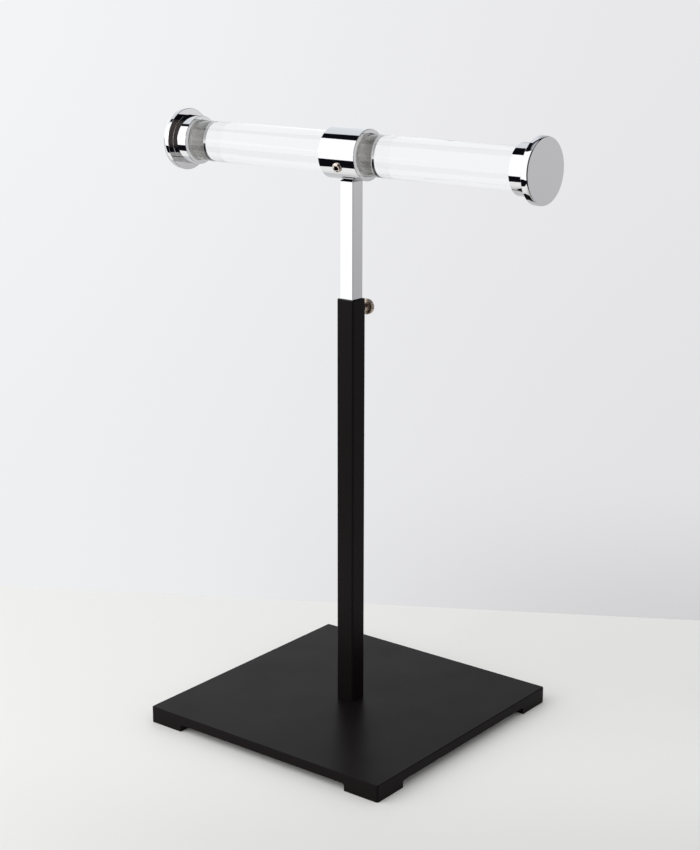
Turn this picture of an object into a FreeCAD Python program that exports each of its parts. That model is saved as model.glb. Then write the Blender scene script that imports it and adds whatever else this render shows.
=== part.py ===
import FreeCAD, Part
import os
import Sketcher

# Jewelry stand: a steel base with four corner feet, a square post, a bar that slides in it,
# and a cross rod of clear acrylic held in a collar and closed by two stepped caps.
# X runs along the cross rod, Y through the thumb screw, Z up. The origin is the middle of the
# base, on the surface it stands on. Lengths are millimetres, angles degrees.

SIZES = [
    ("base_side", "182"),
    ("plate_thickness", "6"),
    ("foot_height", "4.8"),
    ("foot_side", "25"),
    ("base_corner_radius", "1.5"),
    ("base_edge_radius", "0.6"),
    ("notch_radius", "1.6"),
    ("post_side", "12.7"),
    ("post_wall", "1.3"),
    ("post_corner_radius", "1.3"),
    ("post_height", "263.2"),
    ("plug_height", "14"),
    ("base_screw_diameter", "5"),
    ("base_screw_grip", "11"),
    ("base_screw_head_diameter", "9"),
    ("base_screw_head_height", "2.6"),
    ("base_screw_head_edge", "0.5"),
    ("base_screw_recess", "3"),
    ("base_screw_key", "3"),
    ("base_screw_key_depth", "1.5"),
    ("screw_hole_clearance", "0.25"),
    ("bar_clearance", "0.05"),
    ("bar_length", "240"),
    ("bar_rise", "72.9"),
    ("bar_corner_radius", "0.5"),
    ("bar_top_chamfer", "1"),
    ("bar_foot_chamfer", "0.6"),
    ("rod_diameter", "25.4"),
    ("rod_length", "268"),
    ("fixed_clearance", "0.02"),
    ("collar_diameter", "31"),
    ("collar_length", "27"),
    ("collar_chamfer", "0.5"),
    ("collar_bore_chamfer", "0.3"),
    ("seat_depth", "0.2"),
    ("mount_screw_diameter", "4"),
    ("mount_screw_length", "14"),
    ("mount_screw_head_diameter", "7"),
    ("mount_screw_rim", "0.25"),
    ("mount_screw_sink", "0.25"),
    ("mount_screw_key", "2.5"),
    ("mount_screw_key_depth", "1.2"),
    ("mount_screw_spare_depth", "2"),
    ("set_screw_diameter", "6"),
    ("set_screw_tilt", "27"),
    ("set_screw_proud", "1.2"),
    ("set_screw_chamfer", "0.5"),
    ("set_screw_key", "3"),
    ("set_screw_key_depth", "2"),
    ("thread_clearance", "0.02"),
    ("cap_face_thickness", "2.5"),
    ("cap_flange_diameter", "39"),
    ("cap_flange_thickness", "4.5"),
    ("cap_sleeve_diameter", "30.4"),
    ("cap_sleeve_length", "10.7"),
    ("cap_edge_chamfer", "0.5"),
    ("clamp_drop", "7.5"),
    ("bush_diameter", "7"),
    ("bush_height", "3"),
    ("bush_spigot_diameter", "5.6"),
    ("bush_edge_chamfer", "0.3"),
    ("clamp_thread_diameter", "4"),
    ("clamp_thread_clearance", "0.05"),
    ("clamp_grip_gap", "0.02"),
    ("clamp_neck", "1"),
    ("clamp_shoulder_diameter", "6"),
    ("clamp_shoulder_length", "4"),
    ("clamp_head_diameter", "10"),
    ("clamp_head_length", "3"),
    ("clamp_edge_chamfer", "0.4"),
    ("knurl_depth", "0.3"),
    ("knurl_width", "0.7"),
]
KNURL_COUNT = 28
HEX_SIDES = 6
QUARTER_TURN = 90
FULL_TURN = 360

# Places that follow from the sizes, written for the expressions that use them
PLATE_TOP = "(sizes.foot_height + sizes.plate_thickness)"
POST_TOP = "(%s + sizes.post_height)" % PLATE_TOP
POST_BORE = "(sizes.post_side - 2 * sizes.post_wall)"
BAR_SIDE = "(%s - 2 * sizes.bar_clearance)" % POST_BORE
BAR_TOP = "(%s + sizes.bar_rise)" % POST_TOP
SCREW_PLANE = "(%s - sizes.clamp_drop)" % POST_TOP
ROD_AXIS = "(%s + sizes.collar_diameter / 2 - sizes.seat_depth)" % BAR_TOP
ROD_BORE = "(sizes.rod_diameter + 2 * sizes.fixed_clearance)"
CAP_END = "(sizes.rod_length / 2 + sizes.cap_face_thickness)"
CAP_DEPTH = "(sizes.cap_flange_thickness + sizes.cap_sleeve_length)"
MOUNT_CONE = "((sizes.mount_screw_head_diameter - sizes.mount_screw_diameter) / 2)"
MOUNT_TOP = "(%s / 2 + sizes.mount_screw_sink)" % ROD_BORE

doc = FreeCAD.newDocument("jewelry_stand")
sheet = doc.addObject("Spreadsheet::Sheet", "sizes")
for row, (alias, number) in enumerate(SIZES, start=1):
    sheet.set("A%d" % row, alias)
    sheet.set("B%d" % row, number)
    sheet.setAlias("B%d" % row, alias)
doc.recompute()

UP = FreeCAD.Vector(0, 0, 1)
ALONG_X = FreeCAD.Vector(1, 0, 0)
ALONG_Y = FreeCAD.Vector(0, 1, 0)
NO_SHIFT = FreeCAD.Vector(0, 0, 0)
TOUCH = 1e-4


def size(alias):
    return float(sheet.get(alias))


def place(piece, turn=(UP, 0), tilt=None, **shift):
    """Turn a piece about an axis, then shift it by expressions named x, y and z."""
    piece.Placement = FreeCAD.Placement(NO_SHIFT, FreeCAD.Rotation(*turn))
    if tilt:
        piece.setExpression("Placement.Rotation.Angle", tilt)
    for axis, expression in shift.items():
        piece.setExpression("Placement.Base." + axis, expression)
    return piece


def newBody(label):
    body = doc.addObject("PartDesign::Body", label)
    body.Label = label
    return body


def sketchOn(body, role, name, lift=None):
    plane = [item for item in body.Origin.OriginFeatures if item.Role == role][0]
    sketch = body.newObject("Sketcher::SketchObject", name)
    sketch.AttachmentSupport = [(plane, "")]
    sketch.MapMode = "FlatFace"
    if lift:
        sketch.setExpression("AttachmentOffset.Base.z", lift)
    return sketch


def measure(sketch, kind, name, expression, *ends):
    """Add one driving dimension to a sketch, ruled by an expression."""
    index = sketch.addConstraint(Sketcher.Constraint(kind, *ends, 1.0))
    sketch.renameConstraint(index, name)
    sketch.setExpression("Constraints." + name, expression)


def closedLines(sketch, count):
    """Draw a closed run of lines and return their numbers."""
    turn = FreeCAD.Rotation(UP, FULL_TURN / count)
    corners = [FreeCAD.Vector(-1, -1, 0)]
    for corner in range(count - 1):
        corners.append(turn.multVec(corners[-1]))
    lines = []
    for start, end in zip(corners, corners[1:] + corners[:1]):
        lines.append(sketch.addGeometry(Part.LineSegment(start, end)))
    for line, following in zip(lines, lines[1:] + lines[:1]):
        sketch.addConstraint(Sketcher.Constraint("Coincident", line, 2, following, 1))
    return lines


def drawRectangle(sketch, width, depth, name="box"):
    """Draw a rectangle about the sketch's origin."""
    low, right, high, left = closedLines(sketch, 4)
    for line in (low, high):
        sketch.addConstraint(Sketcher.Constraint("Horizontal", line))
    for line in (right, left):
        sketch.addConstraint(Sketcher.Constraint("Vertical", line))
    sketch.addConstraint(Sketcher.Constraint("Symmetric", low, 1, high, 1, -1, 1))
    measure(sketch, "DistanceX", name + "_width", width, low, 1, low, 2)
    measure(sketch, "DistanceY", name + "_depth", depth, right, 1, right, 2)


def drawCircle(sketch, diameter, name="ring"):
    circle = sketch.addGeometry(Part.Circle(NO_SHIFT, UP, 1.0))
    sketch.addConstraint(Sketcher.Constraint("Coincident", circle, 3, -1, 1))
    measure(sketch, "Diameter", name + "_diameter", diameter, circle)


def drawProfile(sketch, corners):
    """Draw a closed outline through corners given as pairs of expressions."""
    lines = closedLines(sketch, len(corners))
    for number, (line, (across, along)) in enumerate(zip(lines, corners)):
        measure(sketch, "DistanceX", "across%d" % number, across, -1, 1, line, 1)
        measure(sketch, "DistanceY", "along%d" % number, along, -1, 1, line, 1)


def pad(body, sketch, length, middle=False):
    feature = body.newObject("PartDesign::Pad", sketch.Name + "_pad")
    feature.Profile = sketch
    feature.Midplane = middle
    feature.setExpression("Length", length)
    sketch.Visibility = False
    return feature


def pocket(body, sketch, depth, reverse=False):
    feature = body.newObject("PartDesign::Pocket", sketch.Name + "_cut")
    feature.Profile = sketch
    feature.Reversed = reverse
    feature.setExpression("Length", depth)
    sketch.Visibility = False
    return feature


def revolve(body, corners):
    """Turn an outline of (radius, height) corners about the body's Z axis."""
    sketch = sketchOn(body, "XZ_Plane", body.Name + "_outline")
    drawProfile(sketch, corners)
    feature = body.newObject("PartDesign::Revolution", body.Name + "_turned")
    feature.Profile = sketch
    feature.ReferenceAxis = (sketch, ["V_Axis"])
    feature.Angle = FULL_TURN
    sketch.Visibility = False
    return feature


def edgesOf(feature, wanted):
    doc.recompute()
    numbered = enumerate(feature.Shape.Edges, start=1)
    return ["Edge%d" % number for number, edge in numbered if wanted(edge)]


def dress(body, kind, feature, wanted, expression):
    """Round or bevel the wanted edges of a body's last feature."""
    dressed = body.newObject("PartDesign::" + kind, "%s_%s_%s" % (body.Name, kind, feature.Name))
    dressed.Base = (feature, edgesOf(feature, wanted))
    dressed.setExpression("Radius" if kind == "Fillet" else "Size", expression)
    return dressed


def isUpright(edge):
    box = edge.BoundBox
    return box.XLength < TOUCH and box.YLength < TOUCH


def isArc(edge, radius):
    return isinstance(edge.Curve, Part.Circle) and abs(edge.Curve.Radius - radius) < TOUCH


def isRing(edge, diameter, height):
    """True for a circle about Z with this diameter at this height."""
    return isArc(edge, diameter / 2) and abs(edge.Curve.Center.z - height) < TOUCH


def cylinder(name, radius, height, **where):
    piece = doc.addObject("Part::Cylinder", name)
    piece.setExpression("Radius", radius)
    piece.setExpression("Height", height)
    return place(piece, **where)


def cone(name, low, high, height, **where):
    piece = doc.addObject("Part::Cone", name)
    piece.setExpression("Radius1", low)
    piece.setExpression("Radius2", high)
    piece.setExpression("Height", height)
    return place(piece, **where)


def hexPrism(name, acrossFlats, height, **where):
    piece = doc.addObject("Part::Prism", name)
    piece.Polygon = HEX_SIDES
    piece.setExpression("Circumradius", "%s / 2 / cos(30 deg)" % acrossFlats)
    piece.setExpression("Height", height)
    return place(piece, **where)


def fuse(name, *pieces):
    whole = doc.addObject("Part::MultiFuse", name)
    whole.Shapes = list(pieces)
    return whole


def cut(name, base, tool):
    left = doc.addObject("Part::Cut", name)
    left.Base = base
    left.Tool = tool
    left.Label = name
    return left


def bevel(name, base, amount, wanted):
    """Bevel the wanted edges of a primitive, all by the same amount."""
    doc.recompute()
    beveled = doc.addObject("Part::Chamfer", name)
    beveled.Base = base
    numbered = enumerate(base.Shape.Edges, start=1)
    beveled.Edges = [(number, amount, amount) for number, edge in numbered if wanted(edge)]
    return beveled


# The base: one thick square plate whose corners reach down as feet
def buildBasePlate():
    body = newBody("base_plate")
    outline = sketchOn(body, "XY_Plane", "base_outline")
    drawRectangle(outline, "sizes.base_side", "sizes.base_side")
    pad(body, outline, PLATE_TOP)
    between = "(sizes.base_side - 2 * sizes.foot_side)"
    across = "(sizes.base_side + sizes.foot_side)"
    lengthwise = sketchOn(body, "XY_Plane", "gap_along_x")
    drawRectangle(lengthwise, across, between)
    pocket(body, lengthwise, "sizes.foot_height", reverse=True)
    crosswise = sketchOn(body, "XY_Plane", "gap_along_y")
    drawRectangle(crosswise, between, across)
    cleared = pocket(body, crosswise, "sizes.foot_height", reverse=True)
    half = size("base_side") / 2
    inner = half - size("foot_side")
    under = size("foot_height")

    def isOuterCorner(edge):
        spot = edge.CenterOfMass
        return isUpright(edge) and min(abs(spot.x), abs(spot.y)) > half - TOUCH

    def isNotchTop(edge):
        spot = edge.CenterOfMass
        beside = abs(abs(spot.x) - inner) < TOUCH and abs(spot.y) > inner
        before = abs(abs(spot.y) - inner) < TOUCH and abs(spot.x) > inner
        level = abs(edge.BoundBox.ZMin - under) < TOUCH and edge.BoundBox.ZLength < TOUCH
        return level and (beside or before)

    cornered = dress(body, "Fillet", cleared, isOuterCorner, "sizes.base_corner_radius")
    notched = dress(body, "Fillet", cornered, isNotchTop, "sizes.notch_radius")
    top = size("foot_height") + size("plate_thickness")
    isTopEdge = lambda edge: edge.BoundBox.ZMin > top - TOUCH
    dress(body, "Fillet", notched, isTopEdge, "sizes.base_edge_radius")
    recess = sketchOn(body, "XY_Plane", "head_recess")
    drawCircle(recess, "sizes.base_screw_head_diameter + 2 * sizes.screw_hole_clearance")
    pocket(body, recess, "sizes.foot_height + sizes.base_screw_recess", reverse=True)
    through = sketchOn(body, "XY_Plane", "screw_hole")
    drawCircle(through, "sizes.base_screw_diameter + 2 * sizes.screw_hole_clearance")
    pocket(body, through, PLATE_TOP, reverse=True)
    return body


# The post: a square tube on the plate, drilled through its back wall for the clamp bush
def buildOuterPost():
    body = newBody("outer_post")
    section = sketchOn(body, "XY_Plane", "post_section")
    drawRectangle(section, "sizes.post_side", "sizes.post_side", "outer")
    drawRectangle(section, POST_BORE, POST_BORE, "inner")
    tube = pad(body, section, "sizes.post_height")
    half = size("post_side") / 2
    corner = lambda edge: isUpright(edge) and abs(abs(edge.CenterOfMass.x) - half) < TOUCH
    dress(body, "Fillet", tube, corner, "sizes.post_corner_radius")
    hole = cylinder("bush_hole", "sizes.bush_spigot_diameter / 2 + sizes.fixed_clearance", "sizes.post_side",
                    turn=(ALONG_X, -QUARTER_TURN), z="sizes.post_height - sizes.clamp_drop")
    body.Label = "outer_post_tube"
    post = cut("outer_post", body, hole)
    return place(post, z=PLATE_TOP)


# The plug pressed into the foot of the post, tapped for the screw through the plate
def buildPostPlug():
    body = newBody("post_plug")
    section = sketchOn(body, "XY_Plane", "plug_section")
    side = "(%s - 2 * sizes.fixed_clearance)" % POST_BORE
    drawRectangle(section, side, side)
    drawCircle(section, "sizes.base_screw_diameter + 2 * sizes.thread_clearance")
    pad(body, section, "sizes.plug_height")
    return place(body, z=PLATE_TOP)


# The screw that comes up through the plate into the plug
def buildBaseScrew():
    head = cylinder("base_screw_head", "sizes.base_screw_head_diameter / 2", "sizes.base_screw_head_height")
    bottom = lambda edge: isRing(edge, size("base_screw_head_diameter"), 0)
    beveled = bevel("base_screw_low_head", head, size("base_screw_head_edge"), bottom)
    web = "(sizes.plate_thickness - sizes.base_screw_recess)"
    shank = cylinder("base_screw_shank", "sizes.base_screw_diameter / 2", "%s + sizes.base_screw_grip" % web,
                     z="sizes.base_screw_head_height")
    key = hexPrism("base_screw_socket", "sizes.base_screw_key", "sizes.base_screw_key_depth")
    screw = cut("base_screw", fuse("base_screw_blank", beveled, shank), key)
    return place(screw, z="sizes.foot_height + sizes.base_screw_recess - sizes.base_screw_head_height")


# The sliding bar, tapped at its top for the screw that holds the collar
def buildInnerBar():
    body = newBody("inner_bar")
    section = sketchOn(body, "XY_Plane", "bar_section")
    drawRectangle(section, BAR_SIDE, BAR_SIDE)
    bar = pad(body, section, "sizes.bar_length")
    top = size("bar_length")
    isTop = lambda edge: edge.BoundBox.ZMin > top - TOUCH
    isBottom = lambda edge: edge.BoundBox.ZMax < TOUCH
    headed = dress(body, "Chamfer", bar, isTop, "sizes.bar_top_chamfer")
    footed = dress(body, "Chamfer", headed, isBottom, "sizes.bar_foot_chamfer")
    dress(body, "Fillet", footed, isUpright, "sizes.bar_corner_radius")
    tapped = sketchOn(body, "XY_Plane", "bar_tapping", lift="sizes.bar_length")
    drawCircle(tapped, "sizes.mount_screw_diameter + 2 * sizes.thread_clearance")
    pocket(body, tapped, "sizes.mount_screw_length + sizes.mount_screw_spare_depth")
    return place(body, z="%s - sizes.bar_length" % BAR_TOP)


# The collar: bored for the rod, with a seat for the bar, a countersunk hole and a tapped one
def buildCollar():
    body = newBody("collar_ring")
    section = sketchOn(body, "YZ_Plane", "collar_section")
    drawCircle(section, "sizes.collar_diameter", "outer")
    drawCircle(section, ROD_BORE, "inner")
    ring = pad(body, section, "sizes.collar_length", middle=True)
    outerRadius = size("collar_diameter") / 2
    boreRadius = size("rod_diameter") / 2 + size("fixed_clearance")
    isRim = lambda edge: isArc(edge, outerRadius)
    isMouth = lambda edge: isArc(edge, boreRadius)
    beveled = dress(body, "Chamfer", ring, isRim, "sizes.collar_chamfer")
    dress(body, "Chamfer", beveled, isMouth, "sizes.collar_bore_chamfer")
    seat = doc.addObject("Part::Box", "bar_seat")
    for side in ("Length", "Width"):
        seat.setExpression(side, POST_BORE)
    seat.setExpression("Height", "sizes.collar_diameter / 2")
    place(seat, x="-%s / 2" % POST_BORE, y="-%s / 2" % POST_BORE,
          z="sizes.seat_depth - sizes.collar_diameter")
    shankRadius = "(sizes.mount_screw_diameter / 2 + sizes.screw_hole_clearance)"
    headRadius = "(sizes.mount_screw_head_diameter / 2 + sizes.screw_hole_clearance)"
    shankHole = cylinder("mount_screw_hole", shankRadius, "sizes.collar_diameter / 2",
                         z="-sizes.collar_diameter / 2")
    coneBase = "-%s - sizes.mount_screw_rim - %s" % (MOUNT_TOP, MOUNT_CONE)
    coneHeight = "(%s + sizes.screw_hole_clearance)" % MOUNT_CONE
    sink = cone("mount_screw_countersink", "sizes.mount_screw_diameter / 2", headRadius, coneHeight,
                z=coneBase)
    headHole = cylinder("mount_screw_head_hole", headRadius, "%s / 2" % ROD_BORE,
                        z="%s + %s" % (coneBase, coneHeight))
    tapping = cylinder("set_screw_hole", "sizes.set_screw_diameter / 2 + sizes.thread_clearance",
                       "sizes.collar_diameter", turn=(ALONG_X, QUARTER_TURN),
                       tilt="90 + sizes.set_screw_tilt")
    holes = fuse("collar_holes", seat, shankHole, sink, headHole, tapping)
    collar = cut("collar", body, holes)
    return place(collar, z=ROD_AXIS)


# The countersunk screw that draws the collar down on the bar
def buildMountScrew():
    shankLength = "(sizes.mount_screw_length)"
    shank = cylinder("mount_screw_shank", "sizes.mount_screw_diameter / 2", shankLength)
    head = cone("mount_screw_cone", "sizes.mount_screw_diameter / 2", "sizes.mount_screw_head_diameter / 2",
                MOUNT_CONE, z=shankLength)
    rim = cylinder("mount_screw_rim_disc", "sizes.mount_screw_head_diameter / 2", "sizes.mount_screw_rim",
                   z="%s + %s" % (shankLength, MOUNT_CONE))
    top = "(%s + %s + sizes.mount_screw_rim)" % (shankLength, MOUNT_CONE)
    key = hexPrism("mount_screw_socket", "sizes.mount_screw_key", "sizes.mount_screw_key_depth",
                   z="%s - sizes.mount_screw_key_depth" % top)
    screw = cut("collar_mount_screw", fuse("mount_screw_blank", shank, head, rim), key)
    return place(screw, z="%s - %s - %s" % (ROD_AXIS, MOUNT_TOP, top))


# The headless screw in the front of the collar, bearing on the rod
def buildSetScrew():
    length = "(sizes.collar_diameter / 2 + sizes.set_screw_proud - sizes.rod_diameter / 2)"
    blank = cylinder("set_screw_blank", "sizes.set_screw_diameter / 2", length)
    anyRing = lambda edge: isinstance(edge.Curve, Part.Circle)
    beveled = bevel("set_screw_beveled", blank, size("set_screw_chamfer"), anyRing)
    key = hexPrism("set_screw_socket", "sizes.set_screw_key", "sizes.set_screw_key_depth",
                   z="%s - sizes.set_screw_key_depth" % length)
    screw = cut("rod_set_screw", beveled, key)
    reach = "sizes.rod_diameter / 2"
    return place(screw, turn=(ALONG_X, QUARTER_TURN), tilt="90 + sizes.set_screw_tilt",
                 y="-%s * cos(sizes.set_screw_tilt * 1 deg)" % reach,
                 z="%s - %s * sin(sizes.set_screw_tilt * 1 deg)" % (ROD_AXIS, reach))


# The cross rod of clear acrylic, one length through the collar
def buildRod():
    body = newBody("acrylic_rod")
    section = sketchOn(body, "YZ_Plane", "rod_section")
    drawCircle(section, "sizes.rod_diameter")
    pad(body, section, "sizes.rod_length", middle=True)
    return place(body, z=ROD_AXIS)


# An end cap: a flange with a sleeve behind it, bored blind for the rod
def buildEndCap(label, side):
    body = newBody(label)
    flange = "sizes.cap_flange_diameter / 2"
    sleeve = "sizes.cap_sleeve_diameter / 2"
    bore = "%s / 2" % ROD_BORE
    turned = revolve(body, [
        ("0", "0"),
        (flange, "0"),
        (flange, "sizes.cap_flange_thickness"),
        (sleeve, "sizes.cap_flange_thickness"),
        (sleeve, CAP_DEPTH),
        (bore, CAP_DEPTH),
        (bore, "sizes.cap_face_thickness"),
        ("0", "sizes.cap_face_thickness"),
    ])
    wide = size("cap_flange_diameter")
    narrow = size("cap_sleeve_diameter")
    shoulder = size("cap_flange_thickness")
    mouth = shoulder + size("cap_sleeve_length")
    isBeveled = lambda edge: (isRing(edge, wide, 0) or isRing(edge, wide, shoulder)
                              or isRing(edge, narrow, mouth))
    dress(body, "Chamfer", turned, isBeveled, "sizes.cap_edge_chamfer")
    return place(body, turn=(ALONG_Y, -side * QUARTER_TURN), x="%d * %s" % (side, CAP_END), z=ROD_AXIS)


# The threaded bush set in the back wall of the post
def buildClampBush():
    body = newBody("clamp_bush")
    bore = "(sizes.clamp_thread_diameter / 2 + sizes.clamp_thread_clearance)"
    spigot = "sizes.bush_spigot_diameter / 2"
    boss = "sizes.bush_diameter / 2"
    outer = "(sizes.post_wall + sizes.bush_height)"
    turned = revolve(body, [
        (bore, "0"),
        (spigot, "0"),
        (spigot, "sizes.post_wall"),
        (boss, "sizes.post_wall"),
        (boss, outer),
        (bore, outer),
    ])
    rim = size("post_wall") + size("bush_height")
    isRim = lambda edge: isRing(edge, size("bush_diameter"), rim)
    dress(body, "Chamfer", turned, isRim, "sizes.bush_edge_chamfer")
    return place(body, turn=(ALONG_X, -QUARTER_TURN), y="%s / 2" % POST_BORE, z=SCREW_PLANE)


# The thumb screw: thread, shoulder and a knurled head
def buildThumbScrew():
    body = newBody("thumb_screw")
    thread = "sizes.clamp_thread_diameter / 2"
    shoulder = "sizes.clamp_shoulder_diameter / 2"
    head = "sizes.clamp_head_diameter / 2"
    bushEnd = "(sizes.post_side / 2 + sizes.bush_height)"
    neckEnd = "(%s + sizes.clamp_neck - %s / 2 - sizes.clamp_grip_gap)" % (bushEnd, BAR_SIDE)
    headStart = "(%s + sizes.clamp_shoulder_length)" % neckEnd
    headEnd = "(%s + sizes.clamp_head_length)" % headStart
    turned = revolve(body, [
        ("0", "0"),
        (thread, "0"),
        (thread, neckEnd),
        (shoulder, neckEnd),
        (shoulder, headStart),
        (head, headStart),
        (head, headEnd),
        ("0", headEnd),
    ])
    wide = size("clamp_head_diameter")
    narrow = size("clamp_thread_diameter")
    isEdge = lambda edge: isArc(edge, wide / 2) or isRing(edge, narrow, 0)
    dress(body, "Chamfer", turned, isEdge, "sizes.clamp_edge_chamfer")
    notch = sketchOn(body, "XY_Plane", "knurl_notch", lift=headStart)
    rise = "(sizes.clamp_head_diameter / 2 - sizes.knurl_depth)"
    halfWidth = "sizes.knurl_width / 2"
    drawNotch(notch, rise, halfWidth)
    groove = pocket(body, notch, "sizes.clamp_head_length", reverse=True)
    knurl = body.newObject("PartDesign::PolarPattern", "knurl")
    knurl.Originals = [groove]
    knurl.Axis = (notch, ["N_Axis"])
    knurl.Angle = FULL_TURN
    knurl.Occurrences = KNURL_COUNT
    body.Tip = knurl
    tip = "%s / 2 + sizes.clamp_grip_gap" % BAR_SIDE
    return place(body, turn=(ALONG_X, -QUARTER_TURN), y=tip, z=SCREW_PLANE)


def drawNotch(sketch, depthRadius, halfWidth):
    """Draw the pointed notch of one knurl groove, tip inwards, open past the rim."""
    tipToLeft, across, rightToTip = closedLines(sketch, 3)
    rim = "sizes.clamp_head_diameter / 2"
    sketch.addConstraint(Sketcher.Constraint("PointOnObject", tipToLeft, 1, -2))
    measure(sketch, "DistanceY", "tip", depthRadius, -1, 1, tipToLeft, 1)
    sketch.addConstraint(Sketcher.Constraint("Symmetric", across, 1, across, 2, -2))
    measure(sketch, "DistanceX", "mouth", "2 * %s" % halfWidth, across, 2, across, 1)
    measure(sketch, "DistanceY", "reach", rim, -1, 1, across, 1)


nodes = {
    "base_plate": buildBasePlate(),
    "outer_post": buildOuterPost(),
    "post_plug": buildPostPlug(),
    "base_screw": buildBaseScrew(),
    "clamp_bush": buildClampBush(),
    "inner_bar": buildInnerBar(),
    "collar": buildCollar(),
    "collar_mount_screw": buildMountScrew(),
    "rod_set_screw": buildSetScrew(),
    "acrylic_rod": buildRod(),
    "end_cap_left": buildEndCap("end_cap_left", -1),
    "end_cap_right": buildEndCap("end_cap_right", 1),
    "thumb_screw": buildThumbScrew(),
}

doc.recompute()
failed = [item.Name for item in doc.Objects if "Invalid" in item.State or "Error" in item.State]
if failed:
    raise RuntimeError("these features failed: " + ", ".join(failed))
for name, piece in nodes.items():
    if piece.Shape.isNull() or not piece.Shape.isValid():
        raise RuntimeError("no valid shape: " + name)

os.makedirs("parts", exist_ok=True)
for name, piece in nodes.items():
    piece.Shape.exportStep(os.path.join("parts", name + ".step"))
    box = piece.Shape.BoundBox
    print("%-20s solids %d  volume %9.1f  z %.2f to %.2f" % (
        name, len(piece.Shape.Solids), piece.Shape.Volume, box.ZMin, box.ZMax))
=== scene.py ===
import math
import bmesh
import bpy
from mathutils import Matrix, Vector


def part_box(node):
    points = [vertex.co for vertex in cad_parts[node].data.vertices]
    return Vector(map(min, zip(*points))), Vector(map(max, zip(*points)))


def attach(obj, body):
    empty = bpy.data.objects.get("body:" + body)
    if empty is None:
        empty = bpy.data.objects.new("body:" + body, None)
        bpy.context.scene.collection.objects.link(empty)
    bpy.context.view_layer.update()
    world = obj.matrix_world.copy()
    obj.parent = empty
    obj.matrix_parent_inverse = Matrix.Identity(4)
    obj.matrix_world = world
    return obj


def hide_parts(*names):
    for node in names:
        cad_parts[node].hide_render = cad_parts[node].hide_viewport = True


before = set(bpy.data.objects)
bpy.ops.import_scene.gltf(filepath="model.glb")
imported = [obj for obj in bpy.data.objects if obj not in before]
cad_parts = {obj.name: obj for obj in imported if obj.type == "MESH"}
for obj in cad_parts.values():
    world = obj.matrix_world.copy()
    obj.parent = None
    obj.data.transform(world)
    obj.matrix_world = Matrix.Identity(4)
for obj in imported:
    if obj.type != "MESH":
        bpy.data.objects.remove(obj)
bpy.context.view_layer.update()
mm = 0.001
print("CAD frame loaded")


# Mesh helpers. Most pieces are a skin over a run of loops that all have the same number of points.

quarter = math.pi / 2
towardBack = Matrix.Rotation(quarter, 4, "Z")  # these three turn a shape that is made along X
upward = Matrix.Rotation(-quarter, 4, "Y")
downward = Matrix.Rotation(quarter, 4, "Y")


def circleLoop(along, radius, count):
    turns = [2 * math.pi * step / count for step in range(count)]
    return [Vector((along, radius * math.cos(turn), radius * math.sin(turn))) for turn in turns]


def squareLoop(side, cornerRadius, height, cornerSteps):
    loop = []
    middle = side / 2 - cornerRadius
    for corner in range(4):
        centre = Matrix.Rotation(corner * quarter, 3, "Z") @ Vector((middle, middle, 0))
        for step in range(cornerSteps + 1):
            turn = corner * quarter + step / cornerSteps * quarter
            x, y = cornerRadius * math.cos(turn), cornerRadius * math.sin(turn)
            loop.append(centre + Vector((x, y, height)))
    return loop


def softProfile(corners, steps=4):
    # corners are (along, radius, rounding); each rounded one becomes a small arc
    mostOfRun = 0.48
    points = []
    count = len(corners)
    for index, (along, radius, rounding) in enumerate(corners):
        here = Vector((along, radius))
        if rounding <= 0:
            points.append(here)
            continue
        before = Vector(corners[index - 1][:2]) - here
        after = Vector(corners[(index + 1) % count][:2]) - here
        half = before.angle(after) / 2
        reach = min(rounding / math.tan(half), before.length * mostOfRun, after.length * mostOfRun)
        start = here + before.normalized() * reach
        end = here + after.normalized() * reach
        for step in range(steps + 1):
            t = step / steps
            points.append(start * (1 - t) ** 2 + here * 2 * t * (1 - t) + end * t ** 2)
    return [(point.x, point.y) for point in points]


def skin(name, loops, ring=False):
    # ring=True joins the last loop to the first; otherwise both ends are closed flat
    sheet = bmesh.new()
    rows = [[sheet.verts.new(point) for point in loop] for loop in loops]
    pairs = list(zip(rows, rows[1:]))
    if ring:
        pairs.append((rows[-1], rows[0]))
    else:
        sheet.faces.new(list(reversed(rows[0])))
        sheet.faces.new(rows[-1])
    for low, high in pairs:
        for index in range(len(low)):
            following = (index + 1) % len(low)
            sheet.faces.new((low[index], low[following], high[following], high[index]))
    bmesh.ops.recalc_face_normals(sheet, faces=sheet.faces)
    return asPiece(name, sheet)


def turned(name, corners, count, ring=False):
    profile = softProfile(corners)
    return skin(name, [circleLoop(along, radius, count) for along, radius in profile], ring)


def roundCutter(name, start, end, radius, count):
    return skin(name, [circleLoop(start, radius, count), circleLoop(end, radius, count)])


def asPiece(name, sheet):
    mesh = bpy.data.meshes.new(name)
    sheet.to_mesh(mesh)
    sheet.free()
    piece = bpy.data.objects.new(name, mesh)
    bpy.context.scene.collection.objects.link(piece)
    return piece


def put(piece, turn=None, at=(0, 0, 0)):
    # the place goes into the mesh, so the object itself stays at the origin
    piece.data.transform(Matrix.Translation(Vector(at)) @ (turn or Matrix.Identity(4)))
    piece.data.update()
    return piece


def carve(piece, cutters):
    for cutter in cutters:
        cut = piece.modifiers.new("cut", "BOOLEAN")
        cut.operation = "DIFFERENCE"
        cut.solver = "EXACT"
        cut.object = cutter
    keepResult(piece)
    for cutter in cutters:
        bpy.data.objects.remove(cutter, do_unlink=True)


def keepResult(piece):
    # the mesh that the modifiers make becomes the piece's own
    bpy.context.view_layer.update()
    evaluated = piece.evaluated_get(bpy.context.evaluated_depsgraph_get())
    mesh = bpy.data.meshes.new_from_object(evaluated)
    piece.modifiers.clear()
    piece.data = mesh


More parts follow.
